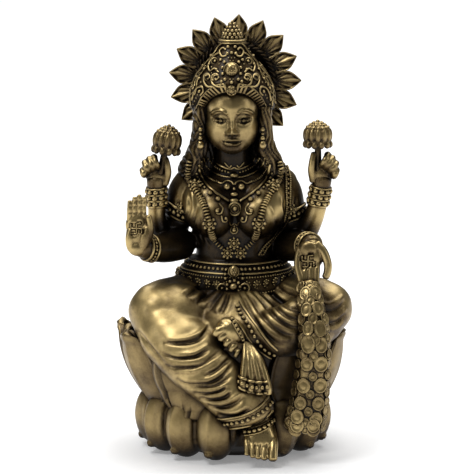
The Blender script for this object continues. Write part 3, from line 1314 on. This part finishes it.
STRINGS = [
    ([(8.4, 94.2), (7.3, 92.6), (6.2, 91.7), (5, 91), (3.8, 90.4), (1.8, 89.8)], 1.05, 0.4),
    ([(11.1, 91.6), (9.5, 89), (7.9, 87.5), (6.3, 86.7), (5, 86.4)], 0.75, 0.33),
    ([(10.6, 93.2), (10.3, 90.4), (8.7, 88.5), (7, 87.2)], 0.7, 0.26),
    ([(12.4, 89.3), (11.8, 87.7), (10.8, 86.1), (9.5, 84.6)], 1.5, 0.5),
    ([(7.8, 82.8), (5.4, 80.7)], 3, 0.8),
]
PAIRS = [(5.6, 77, 0.62), (2.9, 74.6, 0.55), (2.3, 84.8, 1.15)]
DROPS = [(84.2, 0.5), (82.4, 1), (80.3, 1.2), (70.9, 0.8), (88.6, 1.1), (72, 0.4)]
chest = surface_of("body_and_arms", "hair", "head")


def necklaces():
    bm = bmesh.new()
    for line, radius in THREADS:
        sides = both(line, CHEST_MIDDLE)
        add_wires(bm, [lay(chest, side, radius * 0.6) for side in sides], radius)
    for line, pitch, radius in STRINGS:
        for side in both(line, CHEST_MIDDLE):
            add_beads(bm, spaced(lay(chest, side, radius * 0.5), pitch), radius)
    for x, high, radius in PAIRS:
        add_beads(bm, spots(chest, CHEST_MIDDLE, [(x, high)], radius * 0.5), radius)
    for high, radius in DROPS:
        oval = (1.3, 0.8, 0.7) if radius >= 1 else (1, 1, 1)
        drop = spots(chest, CHEST_MIDDLE, [(0, high)], 0.5, (1,))
        add_beads(bm, drop, radius, shape=oval)
    for place in spots(chest, CHEST_MIDDLE, [(0, 70.9)], 0.5, (1,)):
        add_ring(bm, place, TOWARD_EYE, 1.15, 0.22)
    for place in spots(chest, CHEST_MIDDLE, [(0, 77.6)], 0.9, (1,)):
        add_beads(bm, [place - TOWARD_EYE * 0.8], 2.1, 3, (1, 0.5, 1))
        add_beads(bm, [place + TOWARD_EYE * 0.5], 0.8)
        for radius, thickness in ((1.3, 0.24), (2, 0.36)):
            add_ring(bm, place + TOWARD_EYE * 0.1, TOWARD_EYE, radius, thickness)
    return bm


finish_jewel(necklaces(), "necklaces")


# %% Lay the garland and the edge of the bodice
GARLAND = [(14.6, 93), (14.9, 90), (14.6, 87.4), (13.4, 85.6), (12.2, 83.6), (11.1, 81.8),
           (9.8, 79.6), (9, 77.3), (8.4, 75), (7.9, 73.1), (7.3, 69.8), (6.3, 67.9), (5, 66.2),
           (3.2, 64.6)]
BODICE_EDGE = [(16, 92.4), (17.3, 88), (17.4, 82), (17.2, 77), (15.9, 72), (13.2, 68.5),
               (10.3, 65.6), (8.6, 62.8)]


def garland():
    """Flat discs, threaded through their middles, with rosettes between them."""
    bm = bmesh.new()
    disc = Matrix.Diagonal((1.25, 0.95, 0.42, 1))
    for side in both(GARLAND, CHEST_MIDDLE):
        places = spaced(lay(chest, side, 0.5), 0.98)
        for here, following in zip(places, places[1:]):
            turn = (following - here).to_track_quat("Z", "Y").to_matrix().to_4x4()
            stand = Matrix.Translation(here) @ turn @ disc
            bmesh.ops.create_icosphere(bm, subdivisions=2, radius=1, matrix=stand)
    for x, high, radius in ((12.6, 84.8, 1.7), (7.9, 73.1, 1.8), (2, 63.4, 1.6)):
        for place in spots(chest, CHEST_MIDDLE, [(x, high)], 0.9):
            rosette(bm, place, TOWARD_EYE, radius)
    for place in spots(chest, CHEST_MIDDLE, [(0, 66.6)], 0.7, (1,)):
        rosette(bm, place, TOWARD_EYE, 1.6)
    return bm


def bodice_border():
    """The edge of the bodice's drape: two ropes with grains between, on the viewer's right."""
    bm = bmesh.new()
    for shift, lift, pitch, radius, detail in (
        (-0.65, 0.3, 0.72, 0.46, 1), (0.65, 0.3, 0.72, 0.46, 1), (0, 0.2, 1.5, 0.4, 2)
    ):
        row = lay(chest, [(CHEST_MIDDLE + x + shift, high) for x, high in BODICE_EDGE], lift)
        add_beads(bm, spaced(row, pitch), radius, detail)
    return bm


finish_jewel(garland(), "garland", SMOOTH_BRASS)
finish_jewel(bodice_border(), "bodice_border")

# %% [markdown]
# ## Bands round the limbs
#
# Belts, armlets, bracelets and anklets go all the way round. Their places are found from the
# inside: rays go out from the limb's middle to its skin, so a band fits whatever it is on.

# %% The belts
GIRDLE_LEVELS, GIRDLE_HALVES, GIRDLE_DEPTHS = np.array([row[2:] for row in GIRDLE]).T
BELT_MIDDLE = -0.4
cloth = surface_of("body_and_arms", "sari_drapery")


def belt_line(level, drop, lift):
    """A line round the girdle, which drops towards the front."""
    line = []
    for side, front in circle(120):
        up = level - drop * max(0, front) ** 1.5
        wide = np.interp(up, GIRDLE_LEVELS, GIRDLE_HALVES) + lift
        deep = np.interp(up, GIRDLE_LEVELS, GIRDLE_DEPTHS) + lift
        line.append(Vector((0.3 + side * wide, 2.7 - front * deep, up)))
    return line


def belts():
    bm = bmesh.new()
    for level, drop, radius in ((61.4, 0.4, 0.36), (58.6, 0.5, 0.36), (53.4, 3.6, 0.5)):
        add_wires(bm, [belt_line(level, drop, 0.2)], radius, closed=True)
    for level, drop, radius in ((60, 0.5, 0.66), (57.7, 0.8, 0.4), (54.6, 3, 0.42), (52.4, 4, 0.5)):
        row = spaced(belt_line(level, drop, 0.15), radius * 2.25, closed=True)
        add_beads(bm, row, radius, detail=1)
    for place in spaced(belt_line(56.4, 1.8, 0.35), 3.3, closed=True):
        rosette(bm, place, (place.x, place.y - 3, 1), 1.15)
    buckle_beads = [(2.5, 57.5), (2.8, 56), (2.7, 54.6), (1.2, 53.4)]
    add_beads(bm, spots(cloth, BELT_MIDDLE + 0.1, buckle_beads, 0.7), 0.5)
    for place in spots(cloth, BELT_MIDDLE, [(0, 56.8)], 0.8, (1,)):
        add_beads(bm, [place], 1.7, 3, (0.85, 0.7, 1.25))
        add_ring(bm, place + TOWARD_EYE * 0.3, TOWARD_EYE, 1.6, 0.26)
        add_beads(bm, [place + Vector((0.6 * x, -1.2, 0.9 * z)) for x, z in circle(5)], 0.32)
    for place in spots(cloth, BELT_MIDDLE - 0.1, [(0, 51.1)], 1, (1,)):
        add_beads(bm, [place], 1.4)
        add_beads(bm, [place + Vector((2.1 * x, -0.2, 2.1 * z)) for x, z in circle(9)], 0.55)
        add_ring(bm, place, TOWARD_EYE, 1.6, 0.22)
    for place in spots(cloth, BELT_MIDDLE - 0.1, [(3.6, 51.5)], 0.6):
        add_ring(bm, place, TOWARD_EYE, 1.5, 0.3)
        add_beads(bm, [place], 0.5)
    return bm


finish_jewel(belts(), "belts")


# %% Bracelets and armlets
skin = surface_of("body_and_arms")
WRISTS_UP = [((-24.7, -2, 80.4), (-0.06, -0.1, 1)), ((26.9, -1.8, 80.6), (0.14, -0.1, 1))]
WRISTS_OUT = [((-26.6, -11.2, 66.8), (-1, -0.8, 0.2)), ((23.2, -11.2, 67.6), (0.4, -1, 0.1))]
ARMLETS = [(-17.8, 74.2, -0.5), (17.9, 73.8, 0.36)]  # x, level and slope


def bangle(bm, middle, axis, radius, beaded, lift, reach):
    """A wire or a string of beads round an arm, where rays from its middle meet the skin."""
    turn = Vector(axis).to_track_quat("Z", "Y").to_matrix()
    line = []
    for x, y in circle(36):
        way = turn @ Vector((x, y, 0))
        place = skin.ray_cast(Vector(middle), way, reach)[0]
        line.append((place or Vector(middle) + way * reach / 2) + way * lift)
    if beaded:
        add_beads(bm, spaced(line, radius * 2.2, closed=True), radius)
    else:
        add_wires(bm, [line], radius, closed=True, rounds=2)


def bangles():
    bm = bmesh.new()
    for wrist, way in WRISTS_UP:
        for step in (-0.95, 0.95, 2.9, 4.85):
            bangle(bm, Vector(wrist) + Vector(way) * step, way, 0.36, False, 0.2, 6)
        for step in (0, 1.95, 3.9):
            bangle(bm, Vector(wrist) + Vector(way) * step, way, 0.9, True, 0.1, 6)
    for x, z, slope in ARMLETS:
        for up, radius, beaded in ((0, 0.5, False), (1.5, 0.8, True), (3, 0.5, False)):
            place = (x - slope * up, 3.2, z + up)
            bangle(bm, place, (-slope, 0, 1), radius, beaded, 0.15, 8)
        out = Vector((math.copysign(0.2, x), -1, 0.15)).normalized()
        place = skin.ray_cast(Vector((x - slope * 3.4, 3.2, z + 3.4)), out)[0]
        rosette(bm, place + out * 0.4, out, 1.5)
    for wrist, way in WRISTS_OUT:
        for step, beaded in ((0, False), (1.2, True), (2.4, False)):
            place = Vector(wrist) + Vector(way).normalized() * step
            bangle(bm, place, way, 0.5, beaded, 0.15, 7)
    return bm


finish_jewel(bangles(), "bangles")


# %% Anklets
ANKLETS = [
    ([(-1, 41.2), (0.3, 38.9), (1.6, 36.5), (2.4, 34.7), (2.9, 33)], 0.6),
    ([(2, 3.3), (3.6, 3.5), (5.8, 3.9), (8.3, 4.6), (10.4, 5.8), (12.3, 7.4)], 0.75),
]
legs = surface_of("hands_and_feet", "sari_drapery")


def anklets():
    bm = bmesh.new()
    for line, radius in ANKLETS:
        add_beads(bm, spaced(lay(legs, line, radius * 0.5), radius * 2.2), radius)
        for shift in (-1.5 * radius, 1.5 * radius):
            add_wires(bm, [lay(legs, [(x, h + shift) for x, h in line], 0.15)], 0.28)
    return bm


finish_jewel(anklets(), "anklets")

# %% [markdown]
# ## The sari's borders and pleats
#
# A beaded border runs from the waist down between the legs, a second one edges the hem over
# the lower foot, and a bunch of pleats with a band hangs over the shin. The borders are
# threads and beads like the jewels. The pleats are limbs that widen as they fall, fused with
# a thin sheet behind them, because folds laid side by side would leave slits.

# %% The pleats and the borders
BORDERS = [
    ([(1.6, 47.4), (3.4, 44.2), (6.1, 40.1), (8.7, 36.6), (11.4, 33.1), (13.7, 31)],
     [(0, 40.9), (2.1, 38.2), (4.2, 35), (6.9, 31.8), (10, 29.3), (11.9, 28.3)],
     [(0.8, 45.4), (1.8, 43), (2.9, 41.4), (4.1, 39.4), (5.4, 37.2), (6.7, 35), (7.9, 33.2),
      (9.2, 31.6), (10.7, 30.4), (12.7, 29.5)]),
    ([(-6.4, 8.4), (-3.2, 7.9), (3.2, 9.2), (8.4, 12.5), (12.3, 17.6)],
     [(-2.6, 4.6), (1.9, 5.2), (6.5, 6.4), (9.7, 8.3), (12.9, 11.4)],
     [(-4, 6.2), (0, 6.8), (2.6, 7.2), (6.2, 8.6), (9.7, 11), (12.3, 13.9)]),
]


def pleats():
    """Four folds that spread as they fall, in front of a sheet that closes them."""
    bm = bmesh.new()
    for share in (0, 1 / 3, 2 / 3, 1):
        bow = 1.2 * share * (1 - share)
        limb(bm, [
            [3 + 1.8 * share, -28 + 0.6 * share, 40 - 0.8 * share, 0.5, 0.6],
            [3 + 5.2 * share - bow, -31.4, 34.6 - 0.6 * share, 1, 1.3],
            [2.6 + 7.6 * share, -33.2, 28.4 - 1.4 * share, 1.32, 1.7],
            [2.3 + 8 * share, -33.4, 25.8 - 1.6 * share, 1.35, 1.5],
        ], sides=16, dome=0.2)
    limb(bm, [[4, -25.6, 39, 1, 0.6], [5.4, -28.4, 33, 3, 0.7], [6.2, -30.6, 26, 4, 0.8]], dome=0.1)
    return Skin(bm, "pleats", 0.26, 1)


def borders():
    bm = bmesh.new()
    for upper, lower, beads in BORDERS:
        add_wires(bm, [lay(legs, upper, 0.15), lay(legs, lower, 0.15)], 0.38)
        add_beads(bm, spaced(lay(legs, beads, 0.25), 1.9), 0.66)
    return bm


def pleat_band():
    bm = bmesh.new()
    front = surface_of("pleats", "sari_drapery")
    bow = [(1.2 + 9.4 * s, -0.9 * math.sin(s * math.pi) - 1.8 * s) for s in (0, 0.25, 0.5, 0.75, 1)]
    upper, beads, lower = [
        lay(front, [(x, level + drop) for x, drop in bow], 0.25) for level in (22.2, 20.4, 18.6)
    ]
    add_wires(bm, [upper, lower], 0.46)
    add_beads(bm, spaced(beads, 1.8), 0.7)
    return bm


piece(pleats().mesh, "pleats", SMOOTH_BRASS)
finish_jewel(borders(), "sari_borders")
finish_jewel(pleat_band(), "pleat_band")

# %% [markdown]
# ## The coins
#
# Coins pour from the lowered hand and lie like scales. Each one is a disc with a raised rim,
# inset and pressed in a few steps, and it is set many times on a fused core that closes the
# gaps. Small random shifts and sizes keep the rows from looking stamped.

# %% One coin
def linked(verts):
    """All the points that edges join to the given ones."""
    found, queue = set(verts), list(verts)
    while queue:
        for edge in queue.pop().link_edges:
            fresh = [v for v in edge.verts if v not in found]
            found.update(fresh)
            queue += fresh
    return list(found)


def coin(bm, place, facing, radius, roll, tall=1):
    """One coin: a disc with a raised rim and a low boss. Tall draws it out to an oval."""
    rim = bmesh.ops.create_circle(bm, cap_ends=True, segments=14, radius=radius)["verts"]
    disc = list({f for v in rim for f in v.link_faces})
    raised = bmesh.ops.extrude_face_region(bm, geom=disc)["geom"]
    upper = [g for g in raised if isinstance(g, bmesh.types.BMVert)]
    bmesh.ops.translate(bm, verts=upper, vec=(0, 0, 0.8))
    top = [g for g in raised if isinstance(g, bmesh.types.BMFace)]
    for share, depth in ((0.05, 0.08), (0.14, 0), (0.07, -0.12), (0.26, 0), (0.14, 0.08)):
        bmesh.ops.inset_region(bm, faces=top, thickness=radius * share, depth=depth)
    turn = Vector(facing).to_track_quat("Z", "Y").to_matrix().to_4x4()
    spin = Matrix.Diagonal((1, tall, 1, 1)) @ Matrix.Rotation(roll, 4, "Z")
    stand = Matrix.Translation(place) @ turn @ spin
    bmesh.ops.transform(bm, matrix=stand, verts=linked(rim))


# %% The stream of coins
COIN_ROWS = 20
STREAM = [[23.4, -19, 57, 2.6, 2], [24, -23.4, 51, 3.4, 2.4], [25, -26.8, 43, 4, 2.6],
          [25, -27.6, 35, 4.6, 2.8], [24.2, -27.6, 26, 5, 3.2], [23.2, -28, 18, 5.5, 3.4],
          [22.2, -28.4, 13.4, 5.6, 3.2], [21.8, -28.4, 11.8, 5.4, 2.8]]


def coin_shares(row, z):
    """Where a row's coins lie across the stream, and their radius."""
    if z > 41:
        return ((-0.45, 0.55), 1.9) if row % 2 else ((-0.9, 0.05, 0.95), 1.5)
    return ((-0.5, 0.5), 2.15) if row % 2 else ((-1, 0, 1), 1.45)


def coins():
    core = bmesh.new()
    limb(core, STREAM, dome=0.3)
    heart = Skin(core, "coin_core", 0.6, 1)
    tree = heart.tree()
    bm = bmesh.new()
    bm.from_mesh(heart.mesh)
    run = between(STREAM, 8)
    for row in range(COIN_ROWS):
        x, y, z, wide, _ = run[round((row + 0.3) / COIN_ROWS * (len(run) - 1))]
        middle = Vector((x, y, z))
        shares, size = coin_shares(row, z)
        for share in shares:
            jitter = Vector((random.uniform(-0.3, 0.3), 0, random.uniform(-0.4, 0.4)))
            spot = Vector((x + share * wide * 0.96, y - 12, z)) + jitter
            place, normal, _, _ = tree.ray_cast(spot, Vector((0, 1, 0)))
            if not place:
                way = Vector((math.copysign(1, share), -0.6, 0)).normalized()
                place, normal, _, _ = tree.ray_cast(middle, way)
            lean = (normal + Vector((0, -0.3, 0.12))).normalized()
            radius = size * random.uniform(0.92, 1.08)
            sunk = place - lean * random.uniform(0.2, 0.4)
            coin(bm, sunk, lean, radius, row, 1.35 if z > 36 else 1.1)
        for side in (-1, 1):
            way = Vector((side, -0.1, 0)).normalized()
            place, normal, _, _ = tree.ray_cast(middle, way)
            coin(bm, place - normal * 0.3, normal + Vector((0, -0.3, 0)), 1.5, row)
    return bm


finish_jewel(coins(), "coins", DIM_BRASS)

# %% [markdown]
# ## The lotus buds
#
# Each raised hand holds a bud: two tiers of round petals and a heart of grains, on a stem.
# Petals this small read as plump drops, so they are rings of balls, fused at a step that is
# fine enough to keep the valleys between them.

# %% The buds
BUD_ROWS = [  # number, level, distance from the middle, half sizes across and up, columns
    (12, 0, 3.75, 1.05, 2.1, 12), (14, 2.2, 3.4, 0.62, 0.558, 10), (11, 2.9, 2.5, 0.6, 0.54, 10),
    (7, 3.5, 1.5, 0.58, 0.522, 10), (1, 3.9, 0, 0.7, 0.63, 10), (11, -2.6, 3.9, 1.05, 1.1, 12),
]


def bud(bm, foot, head, lean, tall):
    """A bud on its stem, from foot to head, leant by degrees and drawn out to be tall."""
    stand = Matrix.Translation(head) @ Matrix.Rotation(math.radians(lean), 4, "Y")
    stand @= Matrix.Diagonal((1, 1, tall, 1))
    before = set(bm.verts)
    ball(bm, (0, 0, 0.2), (4.2, 4.2, 3.4))
    ball(bm, (0, 0, -2.2), (3.6, 3.6, 1.2))
    for number, level, out, wide, high, columns in BUD_ROWS:
        for i in range(number):
            turn = math.tau * (i + 0.5 * (number % 2)) / number
            place = (math.sin(turn) * out, -math.cos(turn) * out, level)
            ball(bm, place, (wide, wide, high), columns=columns, rows=columns - 2)
    bmesh.ops.transform(bm, matrix=stand, verts=[v for v in bm.verts if v not in before])
    middle = (Vector(foot) + Vector(head)) / 2
    limb(bm, [[*foot, 1.1], [*middle, 1.1], [*head, 1.1]])


def buds():
    bm = bmesh.new()
    bud(bm, (-24, -4.6, 90), (-21.7, -4, 100.6), 8, 1.2)
    bud(bm, (26.8, -4, 90), (26.5, -4, 102.4), 0, 1.12)
    return Skin(bm, "buds", 0.24, 1)


piece(buds().mesh, "buds", DARK_BRASS)

# %% [markdown]
# ## The smallest ornaments
#
# Where the hair covers an ear hangs a drop of beads. The bars of the sign on each palm are
# threads like those of the necklaces, laid in the ground that was sunk for them.

# %% Earrings and palm signs
def earrings():
    bm = bmesh.new()
    for x in (-11, 8.8):
        for level, radius, tall in ((104.4, 0.8, 1), (103, 0.5, 1), (101.6, 0.8, 1), (99.4, 1.2, 1.3)):
            add_beads(bm, [(x, -5.6, level)], radius, shape=(1, 1, tall))
    return bm


def palm_signs():
    bm = bmesh.new()
    palms = surface_of("hands_and_feet")
    for place in SIGN_PLACES:
        add_wires(bm, [lay(palms, bar, 0.15, steps=3) for bar in palm_sign(*place)], 0.27)
    return bm


finish_jewel(earrings(), "earrings")
finish_jewel(palm_signs(), "palm_signs")

# %% [markdown]
# ## Light and floor
#
# Brass shows what it reflects, so the light is a plain studio: a large soft light at the upper
# left, weak ones at both sides, a strip overhead and one on the ground behind. The floor is a
# wide flat sheet of paper, which glows a little so that it stays pale under a small figure.

# %% Light the figure
def soft_light(name, place, size, power, size_y=None, aim=(0, 0, 0.07)):
    lamp = bpy.data.lights.new(name, "AREA")
    lamp.shape = "RECTANGLE"
    lamp.size, lamp.size_y = size, size_y or size
    lamp.energy = power
    holder = bpy.data.objects.new(name, lamp)
    holder.location = place
    way = Vector(aim) - Vector(place)
    holder.rotation_euler = way.to_track_quat("-Z", "Y").to_euler()
    scene.collection.objects.link(holder)


soft_light("key", (-0.34, -0.36, 0.82), 0.3, 2.4)
soft_light("left", (-0.75, -0.45, 0.3), 0.2, 0.7, 0.5)
soft_light("right", (0.8, -0.25, 0.35), 0.2, 0.6, 0.5)
soft_light("overhead", (0.1, 0, 0.95), 0.5, 1.4, 0.25)
soft_light("backdrop", (0, 0.9, 1.2), 1.8, 24, aim=(0, 1.1, 0))

world = bpy.data.worlds.new("studio")
scene.world = world
world.use_nodes = True
world.node_tree.nodes["Background"].inputs["Color"].default_value = (1, 1, 1, 1)
world.node_tree.nodes["Background"].inputs["Strength"].default_value = 0.1
scene.view_settings.view_transform = "Standard"
print("lights:", [lamp.name for lamp in bpy.data.lights])

# %% Lay the floor
sheet = bmesh.new()
bmesh.ops.create_grid(sheet, x_segments=2, y_segments=2, size=4)
floor = bpy.data.objects.new("floor", bpy.data.meshes.new("floor"))
sheet.to_mesh(floor.data)
sheet.free()
scene.collection.objects.link(floor)
paper = bpy.data.materials.new("pale paper")
paper.use_nodes = True
for socket, value in (
    ("Base Color", (0.97, 0.97, 0.97, 1)), ("Roughness", 0.9),
    ("Emission Color", (1, 1, 1, 1)), ("Emission Strength", 0.22),
):
    paper.node_tree.nodes["Principled BSDF"].inputs[socket].default_value = value
floor.data.materials.append(paper)
floor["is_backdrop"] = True
print("floor:", len(floor.data.polygons), "faces")

# %% Compare the sizes and hand in
VISUAL_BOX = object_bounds()
for k in range(3):
    cad, seen = (b[1][k] - b[0][k] for b in (CAD_BOX, VISUAL_BOX))
    print("xyz"[k], round(cad, 4), round(seen, 4))
